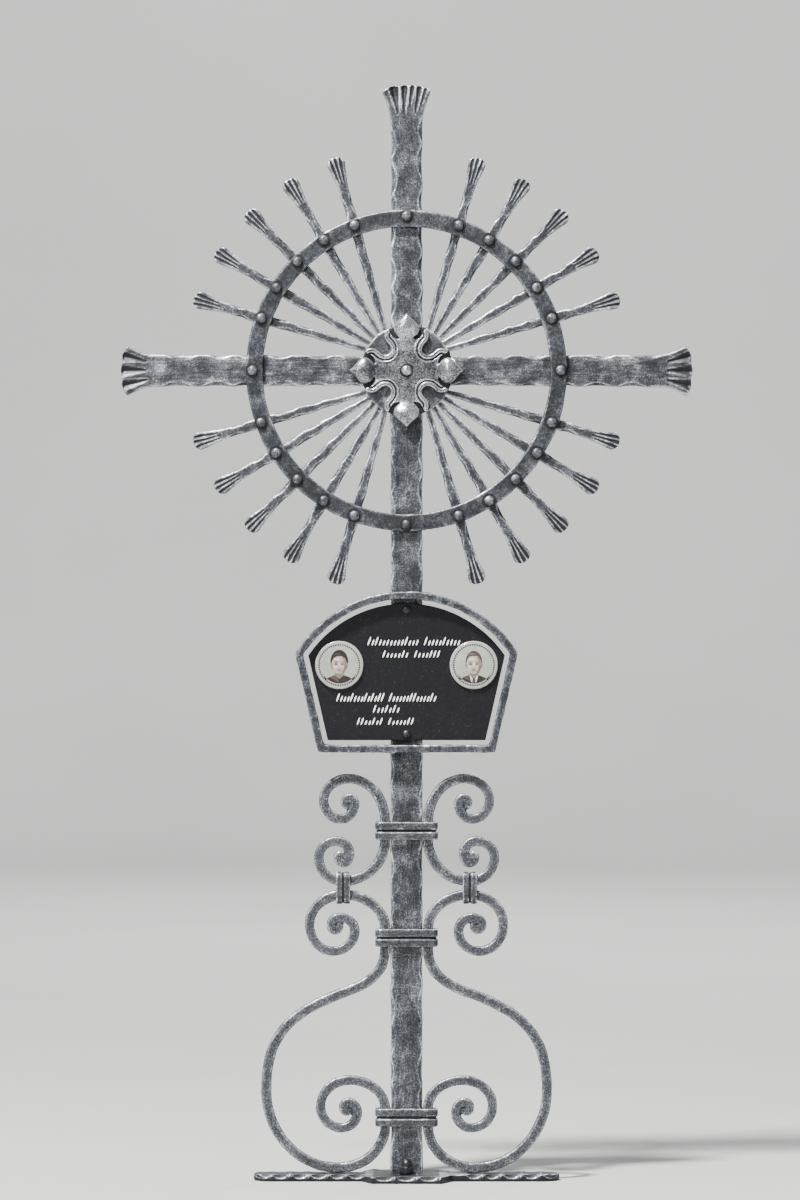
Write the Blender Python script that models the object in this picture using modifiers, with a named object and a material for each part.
"""Wrought iron grave cross.

A flat upright and crossbar with fluted ends carry a riveted ring, twenty fan-ended rays and a rosette.
Below are an arched plaque in its frame, two pairs of scrolls held by collars, and a bolted base plate.

Frame: +Z up, the front faces -Y, metres. The origin is the centre of the base plate's underside.
"""

import math

import bpy
import bmesh
from mathutils import Matrix, Vector

# Gap between pieces that rest on each other
TOUCH = 0.0003

# Arms, from the crossing to their ends
TOP_ARM = 0.392
SPAN = 0.784

# Flat bar of the upright and the crossbar
BAR_WIDTH = 0.042
BAR_THICK = 0.012
BAR_FRONT = -BAR_THICK / 2
LAP_PLAY = 0.0003

# Fluted ends of the bars
BAR_FAN_LENGTH = 0.038
BAR_FAN_WIDTH = 0.067
BAR_FAN_ARCH = 0.005
TOP_FAN_LENGTH = 0.047
TOP_FAN_WIDTH = 0.068
BAR_FLUTES = 3
TOP_FLUTES = 6
BAR_FLUTE_DEPTH = 0.0050
TOP_FLUTE_DEPTH = 0.0034

# A flute is a cone that runs past the tip. Its start and end lie across the fan at these shares of
# its pitch, its axis is this share of its depth in front of the face, and its root starts up the fan
FLUTE_OVERRUN = 0.006
FLUTE_START_SPREAD = 0.55
FLUTE_END_SPREAD = 1.05
FLUTE_RAISE = 0.2
FLUTE_RADIUS = 1.35
FLUTE_ROOT = 0.2

# How deep a raised form is set into the face that it is joined to
RELIEF_SINK = 0.0005

# Ring of flat hoop with its rivets
RING_OUTER = 0.220
RING_WIDTH = 0.0235
RING_THICK = 0.007
RING_STEPS = 52
RIVET_INSET = 0.009
RIVET_CIRCLE = RING_OUTER - RIVET_INSET
RIVET_HEAD = 0.0145
RIVET_RISE = 0.0045

# Rays
RAYS_PER_QUARTER = 5
RAY_STEP = math.radians(12.6)
RAY_FOOT_STEP = math.radians(9.0)
RAY_FOOT_CIRCLE = 0.0685
RAY_START = 0.055
RAY_INWARD = RIVET_CIRCLE - RAY_START
RAY_OUTWARD = 0.0975
RAY_FAN_LENGTH = 0.046
RAY_FAN_WIDTH = 0.0255
RAY_FAN_ARCH = 0.0050
RAY_NECK_WIDTH = 0.0118
RAY_RING_WIDTH = 0.0135
RAY_FOOT_WIDTH = 0.0062
RAY_THICK = 0.008
RAY_FLUTES = 3
RAY_FLUTE_DEPTH = 0.0027

# Disc and rosette over the crossing
DISC_RADIUS = 0.065
DISC_THICK = 0.003
ROSETTE_REACH = 0.0788
ROSETTE_THICK = 0.0045
BUD_WIDTH = 0.0362
BUD_CENTRE = 0.0575
BUD_RISE = 0.0085
NECK_WIDTH = 0.0172
NECK_RADIUS = 0.0434
HORN_OUT = 0.0569
HORN_TIP_SIDE = 0.0262
HORN_WIDEST = 0.0482
HORN_SIDE = 0.0308
NOTCH_RADIUS = 0.0069
NOTCH_CENTRE = 0.0403
ROSETTE_RIVET = 0.0145
CROWN_RADIUS = 0.017
CROWN_RISE = 0.0030

# Base plate and nuts
PLATE_LENGTH = 0.419
PLATE_THICK = 0.0095
PLATE_DEPTH = 0.050
PLATE_MIDDLE_WIDTH = 0.096
PLATE_MIDDLE_DEPTH = 0.116
PLATE_SHOULDER = 0.014
PLATE_TAPER = 0.001
END_STEPS = 5
SCALLOP_PITCH = 0.026
SCALLOP_RADIUS = 0.0128
SCALLOP_LIFT = 0.0078
SCALLOP_REACH = 0.014
NUT_ACROSS_FLATS = 0.019
NUT_HEX_HEIGHT = 0.010
NUT_DOME = 0.0150
NUT_HEIGHT = 0.0205
NUT_OFFSET = 0.0190

# Scroll bar and its round eyes
SCROLL_WIDTH = 0.0132
SCROLL_DEPTH = 0.012
SCROLL_AT_COLLAR = 0.0294
UPPER_SCROLL_HALF = 0.1204
UPPER_SCROLL_RISE = 0.0713
UPPER_SCROLL_DROP = 0.0690
LOWER_SCROLL_HALF = 0.1924
LOWER_VOLUTE_HALF = 0.1327
LOWER_SCROLL_RISE = 0.0590
SCROLLS_APART = 0.0185
QUARTER = 0.5523
TOP_EYE = 0.0125
UPPER_EYE = 0.0116
MIDDLE_EYE = 0.0122
LOWER_EYE = 0.0117
EYE_PROUD = 0.0010
TURN_STEPS = 5

# Collars
COLLAR_WALL = 0.0068
COLLAR_TALL = 0.0250
COLLAR_GROOVE = 0.0020
COLLAR_GROOVE_DEPTH = 0.0018
COLLAR_CHAMFER = 0.0012
LOWER_COLLAR_HEIGHT = 0.0855
COLLARS_APART = 0.2460
SMALL_COLLAR_OUT = 0.0868
SMALL_COLLAR_PLAY = 0.00205
SMALL_COLLAR_WALL = 0.0042
SMALL_COLLAR_TALL = 0.0197

# Heights, stacked from the plate upward: each collar follows the scrolls that it holds
MIDDLE_COLLAR_HEIGHT = LOWER_COLLAR_HEIGHT + COLLARS_APART
SMALL_COLLAR_HEIGHT = MIDDLE_COLLAR_HEIGHT + LOWER_SCROLL_RISE + SCROLLS_APART / 2
UPPER_COLLAR_HEIGHT = MIDDLE_COLLAR_HEIGHT + LOWER_SCROLL_RISE + SCROLLS_APART + UPPER_SCROLL_DROP

# Plaque frame, its plaque, screws and medallions
FRAME_ABOVE_SCROLLS = 0.0296
FRAME_SIDE_RISE = 0.1360
FRAME_ARCH_RISE = 0.0845
FRAME_BOTTOM = UPPER_COLLAR_HEIGHT + UPPER_SCROLL_RISE + SCROLL_WIDTH / 2 + FRAME_ABOVE_SCROLLS
FRAME_SHOULDER = FRAME_BOTTOM + FRAME_SIDE_RISE
FRAME_TOP = FRAME_SHOULDER + FRAME_ARCH_RISE
FRAME_HALF_SHOULDER = 0.1523
FRAME_HALF_BOTTOM = 0.1212
FRAME_BAR = 0.0105
FRAME_DEPTH = 0.020
FRAME_PLAY = 0.0062
ARC_STEPS = 14
PLAQUE_THICK = 0.008
SCREW_HEAD = 0.012
SCREW_RISE = 0.0035
SCREW_RIM = 0.0004
SCREW_INSET = 0.0080
MEDALLION_DIAMETER = 0.066
MEDALLION_THICK = 0.0032
MEDALLION_APART = 0.1840
MEDALLION_DROP = 0.1010

# The crossing stands clear of the frame, and the top arm ends the cross
RING_ABOVE_FRAME = 0.0820
CROSSING_HEIGHT = FRAME_TOP + RING_ABOVE_FRAME + RING_OUTER
TOTAL_HEIGHT = CROSSING_HEIGHT + TOP_ARM

# An edge that turns more than the first is shaded sharp, and one that turns less than the second goes
SHARP_EDGE = math.radians(35)
FLAT_EDGE = math.radians(0.5)

# Turns a drawing in local X and Y to face the front
FACE_ON = (math.radians(90), 0.0, 0.0)


def clear_scene():
    for item in list(bpy.data.objects):
        bpy.data.objects.remove(item, do_unlink=True)


def new_collection(name):
    collection = bpy.data.collections.new(name)
    bpy.context.scene.collection.children.link(collection)
    return collection


def material(name, color, roughness, metallic):
    mat = bpy.data.materials.new(name)
    mat.use_nodes = True
    shader = mat.node_tree.nodes["Principled BSDF"]
    shader.inputs["Base Color"].default_value = (*color, 1.0)
    shader.inputs["Roughness"].default_value = roughness
    shader.inputs["Metallic"].default_value = metallic
    return mat


def add_object(name, data, collection, mat=None):
    """Put a mesh or a curve into a collection as a new object."""
    item = bpy.data.objects.new(name, data)
    collection.objects.link(item)
    if mat is not None:
        data.materials.clear()
        data.materials.append(mat)
    return item


def make_guide(item):
    """A cutter or a guide shows as wire and stays out of the model."""
    item.hide_render = True
    item.display_type = 'WIRE'
    return item


def flat_curve(name, splines, thickness):
    """A filled outline in local X and Y, as thick as stated. Each spline is a list of points."""
    curve = bpy.data.curves.new(name, 'CURVE')
    curve.dimensions = '2D'
    curve.fill_mode = 'BOTH'
    curve.extrude = thickness / 2
    for points in splines:
        spline = curve.splines.new('POLY')
        spline.points.add(len(points) - 1)
        for point, place in zip(spline.points, points):
            point.co = (*place, 0.0, 1.0)
        spline.use_cyclic_u = True
    return curve


def solid_from(item, name, collection, mat=None):
    """Replace an object by a mesh of what its curve or modifiers make, with loose caps welded."""
    depsgraph = bpy.context.evaluated_depsgraph_get()
    mesh = bpy.data.meshes.new_from_object(item.evaluated_get(depsgraph))
    mesh.name = name
    matrix = item.matrix_world.copy()
    bpy.data.objects.remove(item, do_unlink=True)
    bm = bmesh.new()
    bm.from_mesh(mesh)
    bmesh.ops.remove_doubles(bm, verts=bm.verts, dist=0.00001)
    bmesh.ops.recalc_face_normals(bm, faces=bm.faces)
    bmesh.ops.dissolve_limit(bm, angle_limit=FLAT_EDGE, verts=bm.verts, edges=bm.edges)
    bm.to_mesh(mesh)
    bm.free()
    mesh.shade_smooth()
    mesh.set_sharp_from_angle(angle=SHARP_EDGE)
    solid = add_object(name, mesh, collection, mat)
    solid.matrix_world = matrix
    return solid


def join_bmeshes(name, builders, collection):
    """One guide object made of several closed pieces, each built by a function on the same bmesh."""
    bm = bmesh.new()
    for build in builders:
        build(bm)
    mesh = bpy.data.meshes.new(name)
    bm.to_mesh(mesh)
    bm.free()
    return make_guide(add_object(name, mesh, collection))


def boolean(item, cutter, operation):
    mod = item.modifiers.new(operation.title(), 'BOOLEAN')
    mod.object = cutter
    mod.operation = operation
    mod.solver = 'EXACT'
    return mod


def merge_flats(item):
    """Join the coplanar faces that a Boolean leaves."""
    mod = item.modifiers.new("Merge flats", 'DECIMATE')
    mod.decimate_type = 'DISSOLVE'
    mod.angle_limit = FLAT_EDGE
    return item


def dome_builder(centre, radius, rise, segments=8, rings=4):
    """Half a flattened ball that rises toward the front, closed by a flat back at its centre."""
    def build(bm):
        matrix = (Matrix.Translation(centre) @ Matrix.Diagonal((radius, rise, radius, 1.0))
                  @ Matrix.Rotation(math.radians(90), 4, 'X'))
        made = bmesh.ops.create_uvsphere(bm, u_segments=segments, v_segments=rings, radius=1.0, matrix=matrix)
        faces = {face for vert in made["verts"] for face in vert.link_faces}
        edges = {edge for face in faces for edge in face.edges}
        cut = bmesh.ops.bisect_plane(bm, geom=made["verts"] + list(edges) + list(faces), dist=1e-6,
                                     plane_co=centre, plane_no=(0, 1, 0), clear_outer=True)
        rim = [item for item in cut["geom_cut"] if isinstance(item, bmesh.types.BMEdge)]
        bmesh.ops.contextual_create(bm, geom=rim)
    return build


def ball_builder(centre, radius):
    def build(bm):
        bmesh.ops.create_uvsphere(bm, u_segments=10, v_segments=6, radius=radius,
                                  matrix=Matrix.Translation(centre))
    return build


def cone_builder(start, end, end_radius, sides):
    """A cone with its tip at start and its base at end."""
    def build(bm):
        axis = Vector(end) - Vector(start)
        lean = Vector((0, 0, -1)).rotation_difference(axis).to_matrix().to_4x4()
        middle = Matrix.Translation((Vector(start) + Vector(end)) / 2)
        bmesh.ops.create_cone(bm, cap_ends=True, segments=sides, radius1=end_radius, radius2=0.0,
                              depth=axis.length, matrix=middle @ lean)
    return build


def box_builder(centre, size):
    def build(bm):
        matrix = Matrix.Translation(centre) @ Matrix.Diagonal((*size, 1.0))
        bmesh.ops.create_cube(bm, size=1.0, matrix=matrix)
    return build


def fan_outline(root, root_half, tip, tip_half, arch, steps, arch_steps):
    """Right-hand edge of a flared end along local Y, from its root up to the middle of its arched tip."""
    points = []
    for i in range(steps + 1):
        share = i / steps
        half = root_half + (tip_half - root_half) * share ** 1.4
        points.append((half, root + (tip - arch - root) * share))
    for i in range(1, arch_steps):
        angle = math.pi / 2 * i / arch_steps
        points.append((tip_half * math.cos(angle), tip - arch * (1 - math.sin(angle))))
    points.append((0.0, tip))
    return points


def mirrored(points):
    """Close a right-hand edge that runs from bottom to top with its mirror image."""
    left = [(-x, y) for x, y in reversed(points) if x > 1e-9]
    return points + left


def flute_builders(root, tip, tip_half, count, depth, face, sides=4):
    """Tapered flutes that start at the fan's root and widen to its tip, cut into the face at local Z."""
    pitch = 2 * tip_half / (count + 0.25)
    builders = []
    for i in range(count):
        across = (i - (count - 1) / 2) * pitch
        start = (across * FLUTE_START_SPREAD, root, face + depth * FLUTE_RAISE)
        end = (across * FLUTE_END_SPREAD, tip + FLUTE_OVERRUN, face + depth * FLUTE_RAISE)
        builders.append(cone_builder(start, end, depth * FLUTE_RADIUS, sides))
    return builders


def make_upright(parts, guides, iron):
    foot = PLATE_THICK + TOUCH
    edge = [(BAR_WIDTH / 2, foot)]
    edge += fan_outline(TOTAL_HEIGHT - TOP_FAN_LENGTH, BAR_WIDTH / 2, TOTAL_HEIGHT,
                        TOP_FAN_WIDTH / 2, BAR_FAN_ARCH, 4, 3)
    drawing = add_object("upright_drawing", flat_curve("upright", [mirrored(edge)], BAR_THICK), parts)
    drawing.rotation_euler = FACE_ON
    bpy.context.view_layer.update()
    upright = solid_from(drawing, "upright", parts, iron)
    flutes = join_bmeshes("top_flutes", flute_builders(
        TOTAL_HEIGHT - TOP_FAN_LENGTH * (1 - FLUTE_ROOT), TOTAL_HEIGHT, TOP_FAN_WIDTH / 2, TOP_FLUTES,
        TOP_FLUTE_DEPTH, BAR_THICK / 2), guides)
    flutes.rotation_euler = FACE_ON
    lap = join_bmeshes("upright_lap", [box_builder(
        (0, BAR_THICK / 2, CROSSING_HEIGHT),
        (BAR_WIDTH * 2, BAR_THICK, BAR_WIDTH + 2 * LAP_PLAY))], guides)
    boolean(upright, flutes, 'DIFFERENCE')
    boolean(upright, lap, 'DIFFERENCE')
    return merge_flats(upright)


def make_crossbar(parts, guides, iron):
    half = SPAN / 2
    end = fan_outline(half - BAR_FAN_LENGTH, BAR_WIDTH / 2, half, BAR_FAN_WIDTH / 2, BAR_FAN_ARCH, 4, 3)
    right = [(y, -x) for x, y in end] + [(y, x) for x, y in reversed(end[:-1])]
    outline = right + [(-x, y) for x, y in reversed(right)]
    drawing = add_object("crossbar_drawing", flat_curve("crossbar", [outline], BAR_THICK), parts)
    drawing.rotation_euler = FACE_ON
    drawing.location = (0, 0, CROSSING_HEIGHT)
    bpy.context.view_layer.update()
    crossbar = solid_from(drawing, "crossbar", parts, iron)
    builders = flute_builders(half - BAR_FAN_LENGTH, half, BAR_FAN_WIDTH / 2, BAR_FLUTES,
                              BAR_FLUTE_DEPTH, BAR_THICK / 2, sides=6)
    for side, name in ((-90, "right_flutes"), (90, "left_flutes")):
        flutes = join_bmeshes(name, builders, guides)
        flutes.matrix_world = (Matrix.Translation((0, 0, CROSSING_HEIGHT))
                               @ Matrix.Rotation(math.radians(90), 4, 'X')
                               @ Matrix.Rotation(math.radians(side), 4, 'Z'))
        boolean(crossbar, flutes, 'DIFFERENCE')
    lap = join_bmeshes("crossbar_lap", [box_builder(
        (0, -BAR_THICK / 2 + LAP_PLAY, CROSSING_HEIGHT),
        (BAR_WIDTH + 2 * LAP_PLAY, BAR_THICK, BAR_WIDTH * 2))], guides)
    boolean(crossbar, lap, 'DIFFERENCE')
    return merge_flats(crossbar)


def ray_places():
    """Rivet position and heading of each ray, from the crossing, clockwise from straight up."""
    middle = (RAYS_PER_QUARTER - 1) / 2
    for quarter in range(4):
        for i in range(RAYS_PER_QUARTER):
            base = math.radians(45 + 90 * quarter)
            out = base + (i - middle) * RAY_STEP
            inn = base + (i - middle) * RAY_FOOT_STEP
            rivet = Vector((math.sin(out), 0, math.cos(out))) * RIVET_CIRCLE
            foot = Vector((math.sin(inn), 0, math.cos(inn))) * RAY_FOOT_CIRCLE
            heading = math.atan2(rivet.x - foot.x, rivet.z - foot.z)
            yield rivet, heading


def make_ring(parts, guides, iron):
    """The hoop is a turned rectangle; the rivet heads are joined on by a union."""
    back = BAR_FRONT - TOUCH
    inner = RING_OUTER - RING_WIDTH
    profile = [(inner, 0), (RING_OUTER, 0), (RING_OUTER, RING_THICK), (inner, RING_THICK)]
    bm = bmesh.new()
    verts = [bm.verts.new((x, 0, z)) for x, z in profile]
    for a, b in zip(verts, verts[1:] + verts[:1]):
        bm.edges.new((a, b))
    mesh = bpy.data.meshes.new("ring_profile")
    bm.to_mesh(mesh)
    bm.free()
    ring = add_object("ring_profile", mesh, parts)
    turn = ring.modifiers.new("Turn", 'SCREW')
    turn.steps = RING_STEPS
    turn.render_steps = RING_STEPS
    turn.use_merge_vertices = True
    turn.merge_threshold = 0.00005
    ring.rotation_euler = FACE_ON
    ring.location = (0, back, CROSSING_HEIGHT)
    bpy.context.view_layer.update()
    ring = solid_from(ring, "ring", parts, iron)
    heads = [rivet for rivet, heading in ray_places()]
    heads += [Vector((math.sin(a), 0, math.cos(a))) * RIVET_CIRCLE
              for a in (0, math.pi / 2, math.pi, 3 * math.pi / 2)]
    sunk = back - RING_THICK + RELIEF_SINK
    builders = [dome_builder((p.x, sunk, CROSSING_HEIGHT + p.z), RIVET_HEAD / 2, RIVET_RISE) for p in heads]
    boolean(ring, join_bmeshes("rivet_heads", builders, guides), 'UNION')
    return merge_flats(ring)


def make_rays(parts, guides, iron):
    """One ray is drawn about its rivet along local Y, then placed twenty times with the same mesh."""
    edge = [(RAY_FOOT_WIDTH / 2, -RAY_INWARD), (RAY_RING_WIDTH / 2, 0.0)]
    edge += fan_outline(RAY_OUTWARD - RAY_FAN_LENGTH, RAY_NECK_WIDTH / 2, RAY_OUTWARD,
                        RAY_FAN_WIDTH / 2, RAY_FAN_ARCH, 3, 2)
    drawing = add_object("ray_drawing", flat_curve("ray", [mirrored(edge)], RAY_THICK), parts)
    pattern = solid_from(drawing, "ray_pattern", parts, iron)
    flutes = join_bmeshes("ray_flutes", flute_builders(
        RAY_OUTWARD - RAY_FAN_LENGTH * (1 - FLUTE_ROOT), RAY_OUTWARD, RAY_FAN_WIDTH / 2, RAY_FLUTES,
        RAY_FLUTE_DEPTH, RAY_THICK / 2), guides)
    boolean(pattern, flutes, 'DIFFERENCE')
    bpy.context.view_layer.update()
    pattern = solid_from(pattern, "ray_pattern", parts, iron)
    mesh = pattern.data
    bpy.data.objects.remove(pattern, do_unlink=True)
    for number, (rivet, heading) in enumerate(ray_places(), start=1):
        ray = bpy.data.objects.new(f"ray_{number:02d}", mesh)
        parts.objects.link(ray)
        ray.rotation_euler = (FACE_ON[0], heading, 0)
        ray.location = (rivet.x, BAR_FRONT + RAY_THICK / 2, CROSSING_HEIGHT + rivet.z)


def make_disc(parts, iron):
    back = BAR_FRONT - TOUCH
    bpy.ops.mesh.primitive_cylinder_add(vertices=32, radius=DISC_RADIUS, depth=DISC_THICK,
                                        location=(0, back - DISC_THICK / 2, CROSSING_HEIGHT),
                                        rotation=FACE_ON)
    return adopt("disc", parts, iron)


def adopt(name, parts, mat):
    """Take the object that an operator has just made into the model."""
    item = bpy.context.active_object
    item.name = name
    item.data.name = name
    for collection in list(item.users_collection):
        collection.objects.unlink(item)
    parts.objects.link(item)
    item.data.materials.append(mat)
    return item


def rosette_arm():
    """Half of one arm's outline, from the notch on one diagonal up to the bud's tip, at local +Y."""
    bud_half = BUD_WIDTH / 2
    points = []
    diagonal = NOTCH_CENTRE / math.sqrt(2)
    for i in range(4):
        angle = math.radians(225 - 30 * i)
        points.append((diagonal + NOTCH_RADIUS * math.cos(angle), diagonal + NOTCH_RADIUS * math.sin(angle)))
    points += [(HORN_SIDE * 0.91, HORN_WIDEST * 0.83), (HORN_SIDE, HORN_WIDEST),
               (HORN_SIDE * 0.96, HORN_WIDEST * 1.11), (HORN_TIP_SIDE, HORN_OUT),
               (HORN_TIP_SIDE * 0.88, HORN_OUT * 0.93), (HORN_TIP_SIDE * 0.68, HORN_WIDEST * 0.94),
               (NECK_WIDTH / 2, NECK_RADIUS)]
    for i in range(4):
        angle = math.radians(-50 + 30 * i)
        points.append((bud_half * math.cos(angle), BUD_CENTRE + bud_half * 0.82 * math.sin(angle)))
    points += [(bud_half * 0.42, ROSETTE_REACH - 0.0065), (0.0, ROSETTE_REACH)]
    return points


def make_rosette(parts, guides, iron):
    arm = rosette_arm()
    whole_arm = arm + [(-x, y) for x, y in reversed(arm[:-1])]
    outline = []
    for quarter in range(4):
        turn = Matrix.Rotation(quarter * math.pi / 2, 2)
        outline += [tuple(turn @ Vector(p)) for p in whole_arm[1:]]
    drawing = add_object("rosette_drawing", flat_curve("rosette", [outline], ROSETTE_THICK), parts)
    back = BAR_FRONT - 2 * TOUCH - DISC_THICK
    drawing.rotation_euler = FACE_ON
    drawing.location = (0, back - ROSETTE_THICK / 2, CROSSING_HEIGHT)
    bpy.context.view_layer.update()
    rosette = solid_from(drawing, "rosette", parts, iron)
    sunk = back - ROSETTE_THICK + RELIEF_SINK
    builders = []
    for quarter in range(4):
        angle = quarter * math.pi / 2
        centre = (BUD_CENTRE * math.sin(angle), sunk, CROSSING_HEIGHT + BUD_CENTRE * math.cos(angle))
        builders.append(dome_builder(centre, BUD_WIDTH * 0.45, BUD_RISE))
    builders.append(dome_builder((0, sunk, CROSSING_HEIGHT), CROWN_RADIUS, CROWN_RISE, 10))
    boolean(rosette, join_bmeshes("rosette_relief", builders, guides), 'UNION')
    rivet = dome_builder((0, sunk - CROWN_RISE + 2 * RELIEF_SINK, CROSSING_HEIGHT),
                         ROSETTE_RIVET / 2, RIVET_RISE)
    boolean(rosette, join_bmeshes("rosette_rivet", [rivet], guides), 'UNION')
    return merge_flats(rosette)


def arched_outline(inset):
    """The plaque frame's outline moved inward, clockwise in X and Z: an arc over two leaning sides."""
    rise = FRAME_TOP - FRAME_SHOULDER
    radius = (FRAME_HALF_SHOULDER ** 2 + rise ** 2) / (2 * rise)
    centre = FRAME_TOP - radius
    side = Vector((FRAME_HALF_BOTTOM - FRAME_HALF_SHOULDER, FRAME_BOTTOM - FRAME_SHOULDER)).normalized()
    inward = Vector((side.y, -side.x))
    start = Vector((FRAME_HALF_SHOULDER, FRAME_SHOULDER)) + inward * inset - Vector((0, centre))
    small = radius - inset
    along = -start.dot(side) - math.sqrt(start.dot(side) ** 2 - start.length_squared + small ** 2)
    shoulder = start + side * along
    floor = FRAME_BOTTOM + inset - centre
    corner = start + side * ((floor - start.y) / side.y)
    sweep = math.atan2(shoulder.x, shoulder.y)
    points = []
    for i in range(ARC_STEPS + 1):
        angle = -sweep + 2 * sweep * i / ARC_STEPS
        points.append((small * math.sin(angle), centre + small * math.cos(angle)))
    points += [(corner.x, centre + corner.y), (-corner.x, centre + corner.y)]
    return points


def make_frame(parts, iron):
    curve = flat_curve("plaque_frame", [arched_outline(0.0), arched_outline(FRAME_BAR)], FRAME_DEPTH)
    drawing = add_object("plaque_frame_drawing", curve, parts)
    drawing.rotation_euler = FACE_ON
    drawing.location = (0, BAR_FRONT - TOUCH - FRAME_DEPTH / 2, 0)
    bpy.context.view_layer.update()
    return solid_from(drawing, "plaque_frame", parts, iron)


def make_plaque(parts, stone):
    outline = arched_outline(FRAME_BAR + FRAME_PLAY)
    drawing = add_object("plaque_drawing", flat_curve("plaque", [outline], PLAQUE_THICK), parts)
    drawing.rotation_euler = FACE_ON
    drawing.location = (0, BAR_FRONT - TOUCH - PLAQUE_THICK / 2, 0)
    bpy.context.view_layer.update()
    return solid_from(drawing, "plaque", parts, stone)


def turned(name, profile, steps, place, parts, mat):
    """A turned piece facing -Y. Profile points are (radius, height), from the top's centre down."""
    bm = bmesh.new()
    verts = [bm.verts.new((x, 0, z)) for x, z in profile]
    for a, b in zip(verts, verts[1:]):
        bm.edges.new((a, b))
    mesh = bpy.data.meshes.new(name)
    bm.to_mesh(mesh)
    bm.free()
    item = add_object(name + "_profile", mesh, parts)
    turn = item.modifiers.new("Turn", 'SCREW')
    turn.steps = steps
    turn.render_steps = steps
    turn.use_merge_vertices = True
    turn.merge_threshold = 0.00005
    item.rotation_euler = FACE_ON
    item.location = place
    bpy.context.view_layer.update()
    return solid_from(item, name, parts, mat)


def make_screws(parts, steel):
    face = BAR_FRONT - 2 * TOUCH - PLAQUE_THICK
    inset = FRAME_BAR + FRAME_PLAY + SCREW_INSET
    radius = SCREW_HEAD / 2
    profile = [(0, SCREW_RISE), (radius * 0.5, SCREW_RISE * 0.9), (radius * 0.87, SCREW_RISE * 0.55),
               (radius, SCREW_RIM), (radius, 0), (0, 0)]
    for name, height in (("screw_top", FRAME_TOP - inset), ("screw_bottom", FRAME_BOTTOM + inset)):
        turned(name, profile, 10, (0, face, height), parts, steel)


def make_medallions(parts, ceramic):
    face = BAR_FRONT - 2 * TOUCH - PLAQUE_THICK
    radius = MEDALLION_DIAMETER / 2
    profile = [(0, MEDALLION_THICK), (radius * 0.9, MEDALLION_THICK * 0.85),
               (radius, MEDALLION_THICK * 0.35), (radius, 0), (0, 0)]
    height = FRAME_TOP - MEDALLION_DROP
    for name, side in (("medallion_left", -1), ("medallion_right", 1)):
        turned(name, profile, 28, (side * MEDALLION_APART / 2, face, height), parts, ceramic)


def quarter_points(nodes):
    """Bezier points through the extremes of a scroll.

    A node is (x, z, heading): 'v' where the bar runs up or down, 'h' where it runs level, or a lean in
    degrees at an inflection. Handles of QUARTER make each stretch a quarter of an ellipse.
    """
    points = []
    for i, (x, z, heading) in enumerate(nodes):
        if heading == 'v':
            along = Vector((0, 1))
        elif heading == 'h':
            along = Vector((1, 0))
        else:
            along = Vector((math.cos(math.radians(heading)), math.sin(math.radians(heading))))
        here = Vector((x, z))
        handles = []
        for j in (i - 1, i + 1):
            if 0 <= j < len(nodes):
                there = Vector(nodes[j][:2])
                handles.append(here + along * (there - here).dot(along) * QUARTER)
            else:
                handles.append(here.copy())
        points.append((here, handles[0], handles[1]))
    return points


def upper_scroll_nodes():
    """The left-hand upper scroll, from the eye of its top volute to the eye of the lower one.

    Its nodes lie at shares of its half width, and of its rise above the collar or drop below it.
    """
    collar = UPPER_COLLAR_HEIGHT
    half, rise, drop = UPPER_SCROLL_HALF, UPPER_SCROLL_RISE, UPPER_SCROLL_DROP
    return [(-half * 0.596, collar + rise * 0.512, 'v'), (-half * 0.743, collar + rise * 0.224, 'h'),
            (-half * 0.943, collar + rise * 0.586, 'v'), (-half * 0.652, collar + rise, 'h'),
            (-SCROLL_AT_COLLAR, collar + COLLAR_TALL / 2, 'v'),
            (-SCROLL_AT_COLLAR, collar - COLLAR_TALL / 2, 'v'),
            (-SMALL_COLLAR_OUT, collar - drop, 'h'), (-half, collar - drop * 0.543, 'v'),
            (-half * 0.802, collar - drop * 0.206, 'h'), (-half * 0.654, collar - drop * 0.442, 'v')]


def lower_scroll_nodes():
    """The left-hand lower scroll, from the eye above its upper collar to the eye by the lowest collar.

    Its upper volute has its own half width and rise. Below, the bar comes to rest on the plate.
    """
    upper = MIDDLE_COLLAR_HEIGHT
    lower = LOWER_COLLAR_HEIGHT
    small, rise, half = LOWER_VOLUTE_HALF, LOWER_SCROLL_RISE, LOWER_SCROLL_HALF
    resting = PLATE_THICK + TOUCH + SCROLL_WIDTH / 2
    drop = lower - resting
    return [(-small * 0.674, upper + rise * 0.449, 'h'), (-small * 0.537, upper + rise * 0.176, 'v'),
            (-small * 0.756, upper - rise * 0.314, 'h'), (-small, upper + rise * 0.293, 'v'),
            (-SMALL_COLLAR_OUT, upper + rise, 'h'),
            (-SCROLL_AT_COLLAR, upper + COLLAR_TALL / 2, 'v'),
            (-SCROLL_AT_COLLAR, upper - COLLAR_TALL / 2, 'v'),
            (-half * 0.452, upper - COLLARS_APART * 0.309, 20),
            (-half, lower + drop * 0.538, 'v'), (-half * 0.487, resting, 'h'),
            (-SCROLL_AT_COLLAR, lower - COLLAR_TALL / 2, 'v'),
            (-SCROLL_AT_COLLAR, lower + COLLAR_TALL / 2, 'v'),
            (-half * 0.405, lower + drop * 0.735, 'h'), (-half * 0.612, lower + drop * 0.221, 'v'),
            (-half * 0.463, lower - drop * 0.214, 'h'), (-half * 0.351, lower + drop * 0.101, 'v'),
            (-half * 0.415, lower + drop * 0.272, 'h')]


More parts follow.
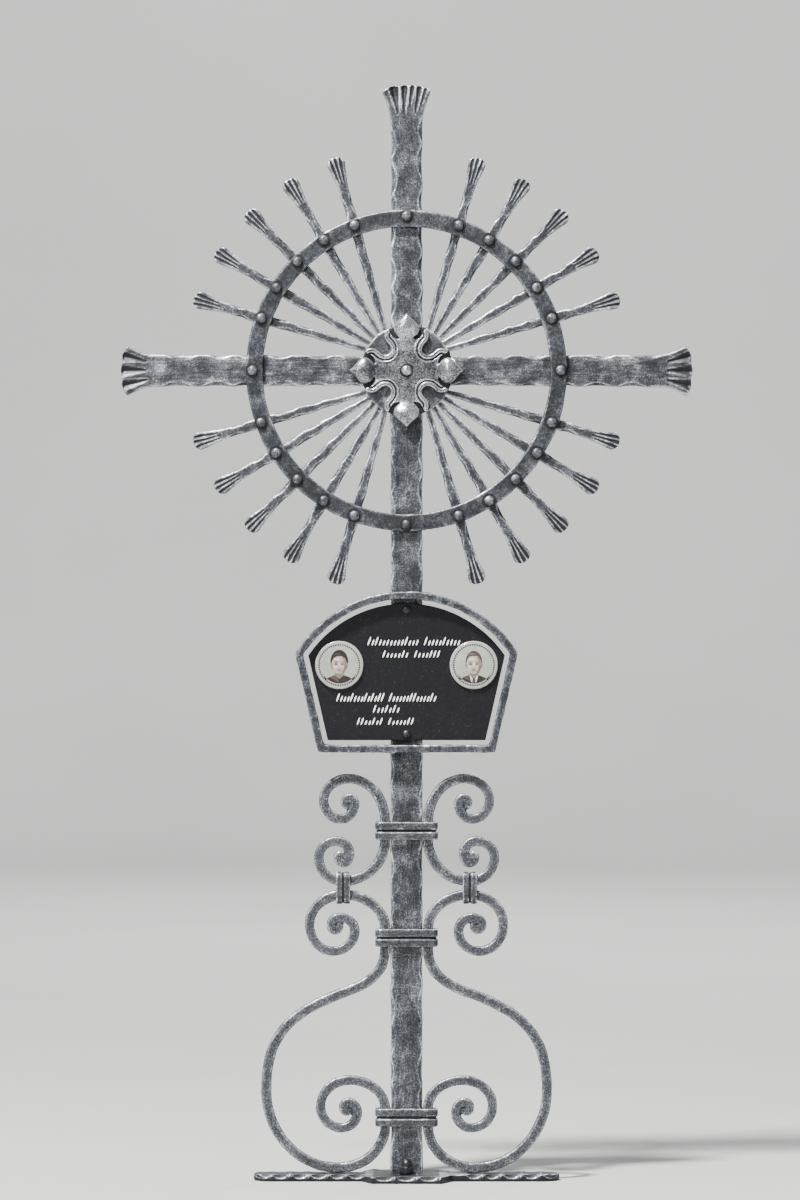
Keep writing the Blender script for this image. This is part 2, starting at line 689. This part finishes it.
def scroll_eyes():
    """Centres and radii of the eyes of the left-hand upper and lower scrolls."""
    drop = LOWER_COLLAR_HEIGHT - PLATE_THICK - TOUCH - SCROLL_WIDTH / 2
    upper = ((-UPPER_SCROLL_HALF * 0.652, UPPER_COLLAR_HEIGHT + UPPER_SCROLL_RISE * 0.532, TOP_EYE),
             (-UPPER_SCROLL_HALF * 0.721, UPPER_COLLAR_HEIGHT - UPPER_SCROLL_DROP * 0.552, UPPER_EYE))
    lower = ((-LOWER_VOLUTE_HALF * 0.731, MIDDLE_COLLAR_HEIGHT + LOWER_SCROLL_RISE * 0.303, MIDDLE_EYE),
             (-LOWER_SCROLL_HALF * 0.416, LOWER_COLLAR_HEIGHT + drop * 0.200, LOWER_EYE))
    return upper, lower


def make_scroll(name, nodes, eyes, side, parts, guides, iron):
    """Square bar along a 2D curve, with a round eye joined on at each end."""
    section = bpy.data.curves.new(name + "_section", 'CURVE')
    section.dimensions = '2D'
    corner = section.splines.new('POLY')
    corner.points.add(3)
    half = (SCROLL_WIDTH / 2, SCROLL_DEPTH / 2)
    for point, (sx, sy) in zip(corner.points, ((1, 1), (-1, 1), (-1, -1), (1, -1))):
        point.co = (half[0] * sx, half[1] * sy, 0, 1)
    corner.use_cyclic_u = True
    section_item = make_guide(add_object(name + "_section", section, guides))
    curve = bpy.data.curves.new(name, 'CURVE')
    curve.dimensions = '2D'
    curve.fill_mode = 'NONE'
    curve.resolution_u = TURN_STEPS
    curve.render_resolution_u = 0
    curve.bevel_mode = 'OBJECT'
    curve.bevel_object = section_item
    curve.use_fill_caps = True
    spline = curve.splines.new('BEZIER')
    points = quarter_points(nodes)
    spline.bezier_points.add(len(points) - 1)
    for point, (place, left, right) in zip(spline.bezier_points, points):
        point.co = (place.x * -side, place.y, 0)
        point.handle_left = (left.x * -side, left.y, 0)
        point.handle_right = (right.x * -side, right.y, 0)
    drawing = add_object(name + "_drawing", curve, parts)
    drawing.rotation_euler = FACE_ON
    bpy.context.view_layer.update()
    scroll = solid_from(drawing, name, parts, iron)
    bm = bmesh.new()
    for x, z, radius in eyes:
        place = Matrix.Translation((x * -side, 0, z)) @ Matrix.Rotation(math.radians(90), 4, 'X')
        bmesh.ops.create_cone(bm, cap_ends=True, segments=14, radius1=radius, radius2=radius,
                              depth=SCROLL_DEPTH + EYE_PROUD, matrix=place)
    mesh = bpy.data.meshes.new(name + "_eyes")
    bm.to_mesh(mesh)
    bm.free()
    boolean(scroll, make_guide(add_object(name + "_eyes", mesh, guides)), 'UNION')
    return merge_flats(scroll)


def make_scrolls(parts, guides, iron):
    upper_eyes, lower_eyes = scroll_eyes()
    for word, side in (("left", -1), ("right", 1)):
        make_scroll(f"upper_scroll_{word}", upper_scroll_nodes(), upper_eyes, side, parts, guides, iron)
        make_scroll(f"lower_scroll_{word}", lower_scroll_nodes(), lower_eyes, side, parts, guides, iron)


def make_collar(name, place, hole, wall, tall, upright_axis, parts, guides, iron):
    """Two bands on a thinner core, all around a rectangular hole. Its axis is Z, or X if not upright."""
    band = (tall - COLLAR_GROOVE) / 2
    outer = (hole[0] + 2 * wall, hole[1] + 2 * wall)
    slim = (outer[0] - 2 * COLLAR_GROOVE_DEPTH, outer[1] - 2 * COLLAR_GROOVE_DEPTH)
    shift = (band + COLLAR_GROOVE) / 2
    core = join_bmeshes(name, [box_builder((0, 0, 0), (*slim, tall - band))], guides)
    for word, height in (("lower", -shift), ("upper", shift)):
        ring = join_bmeshes(f"{name}_{word}_band", [box_builder((0, 0, height), (*outer, band))], guides)
        chamfer = ring.modifiers.new("Edges", 'BEVEL')
        chamfer.width = COLLAR_CHAMFER
        chamfer.segments = 1
        boolean(core, ring, 'UNION')
    cavity = join_bmeshes(name + "_hole", [box_builder((0, 0, 0), (*hole, tall * 2))], guides)
    boolean(core, cavity, 'DIFFERENCE')
    bpy.context.view_layer.update()
    collar = solid_from(core, name, parts, iron)
    collar.location = place
    if not upright_axis:
        collar.rotation_euler = (0, math.radians(90), 0)
    return collar


def make_collars(parts, guides, iron):
    wide = 2 * (SCROLL_AT_COLLAR + SCROLL_WIDTH / 2 + TOUCH)
    deep = BAR_THICK + 2 * TOUCH
    heights = (("upper", UPPER_COLLAR_HEIGHT), ("middle", MIDDLE_COLLAR_HEIGHT),
               ("lower", LOWER_COLLAR_HEIGHT))
    for word, height in heights:
        make_collar(f"collar_{word}", (0, 0, height), (wide, deep), COLLAR_WALL, COLLAR_TALL, True,
                    parts, guides, iron)
    hole = SCROLLS_APART + SCROLL_WIDTH + 2 * SMALL_COLLAR_PLAY
    for word, side in (("left", -1), ("right", 1)):
        place = (side * SMALL_COLLAR_OUT, 0, SMALL_COLLAR_HEIGHT)
        make_collar(f"small_collar_{word}", place, (hole, deep), SMALL_COLLAR_WALL,
                    SMALL_COLLAR_TALL, False, parts, guides, iron)


def plate_edge():
    """Right half of the plate's front edge in X and Y, from the middle outward, as distances."""
    half = PLATE_LENGTH / 2
    narrow = PLATE_DEPTH / 2
    wide = PLATE_MIDDLE_DEPTH / 2
    shoulder = PLATE_MIDDLE_WIDTH / 2
    points = [(shoulder, wide), (shoulder + PLATE_SHOULDER * 0.5, (wide + narrow) / 2),
              (shoulder + PLATE_SHOULDER, narrow + PLATE_TAPER)]
    for i in range(END_STEPS + 1):
        angle = math.radians(90 * (1 - i / END_STEPS))
        points.append((half - narrow + narrow * math.cos(angle), narrow * math.sin(angle)))
    return points


def make_plate(parts, guides, iron):
    front = plate_edge()
    right = [(x, -y) for x, y in front] + [(x, y) for x, y in reversed(front[:-1])]
    outline = right + [(-x, y) for x, y in reversed(right)]
    drawing = add_object("plate_drawing", flat_curve("base_plate", [outline], PLATE_THICK), parts)
    drawing.location = (0, 0, PLATE_THICK / 2)
    bpy.context.view_layer.update()
    plate = solid_from(drawing, "base_plate", parts, iron)
    dents = []
    count = int((PLATE_LENGTH / 2 - PLATE_MIDDLE_WIDTH / 2 - PLATE_SHOULDER) / SCALLOP_PITCH)
    for side in (-1, 1):
        for i in range(count):
            dents.append((side * (PLATE_LENGTH / 2 - SCALLOP_PITCH * (i + 0.9)), PLATE_DEPTH / 2))
    for i in (-1, 0, 1):
        dents.append((i * SCALLOP_PITCH * 1.2, PLATE_MIDDLE_DEPTH / 2))
    builders = []
    for across, edge in dents:
        for face in (-1, 1):
            start = (across, face * (edge - SCALLOP_REACH), PLATE_THICK + RELIEF_SINK)
            end = (across, face * (edge + SCALLOP_REACH / 5), PLATE_THICK + SCALLOP_LIFT)
            builders.append(cone_builder(start, end, SCALLOP_RADIUS, 8))
    boolean(plate, join_bmeshes("plate_dents", builders, guides), 'DIFFERENCE')
    return merge_flats(plate)


def make_nuts(parts, guides, steel):
    floor = PLATE_THICK + TOUCH
    for name, side in (("cap_nut_front", -1), ("cap_nut_back", 1)):
        bm = bmesh.new()
        bmesh.ops.create_cone(bm, cap_ends=True, segments=6, radius1=NUT_ACROSS_FLATS / math.sqrt(3),
                              radius2=NUT_ACROSS_FLATS / math.sqrt(3), depth=NUT_HEX_HEIGHT,
                              matrix=Matrix.Translation((0, 0, NUT_HEX_HEIGHT / 2)))
        mesh = bpy.data.meshes.new(name)
        bm.to_mesh(mesh)
        bm.free()
        nut = add_object(name, mesh, parts, steel)
        nut.location = (0, side * NUT_OFFSET, floor)
        radius = NUT_DOME / 2
        dome = join_bmeshes(name + "_dome", [ball_builder(
            (0, side * NUT_OFFSET, floor + NUT_HEIGHT - radius), radius)], guides)
        boolean(nut, dome, 'UNION')
        merge_flats(nut)


def main():
    clear_scene()
    parts = new_collection("grave_cross")
    guides = new_collection("cutters")
    iron = material("painted_iron", (0.085, 0.09, 0.10), 0.45, 0.6)
    stone = material("black_granite", (0.02, 0.02, 0.022), 0.18, 0.0)
    steel = material("dark_steel", (0.03, 0.03, 0.035), 0.35, 0.8)
    ceramic = material("cream_ceramic", (0.62, 0.64, 0.56), 0.25, 0.0)
    make_upright(parts, guides, iron)
    make_crossbar(parts, guides, iron)
    make_ring(parts, guides, iron)
    make_rays(parts, guides, iron)
    make_disc(parts, iron)
    make_rosette(parts, guides, iron)
    make_frame(parts, iron)
    make_plaque(parts, stone)
    make_screws(parts, steel)
    make_medallions(parts, ceramic)
    make_scrolls(parts, guides, iron)
    make_collars(parts, guides, iron)
    make_plate(parts, guides, iron)
    make_nuts(parts, guides, steel)


main()
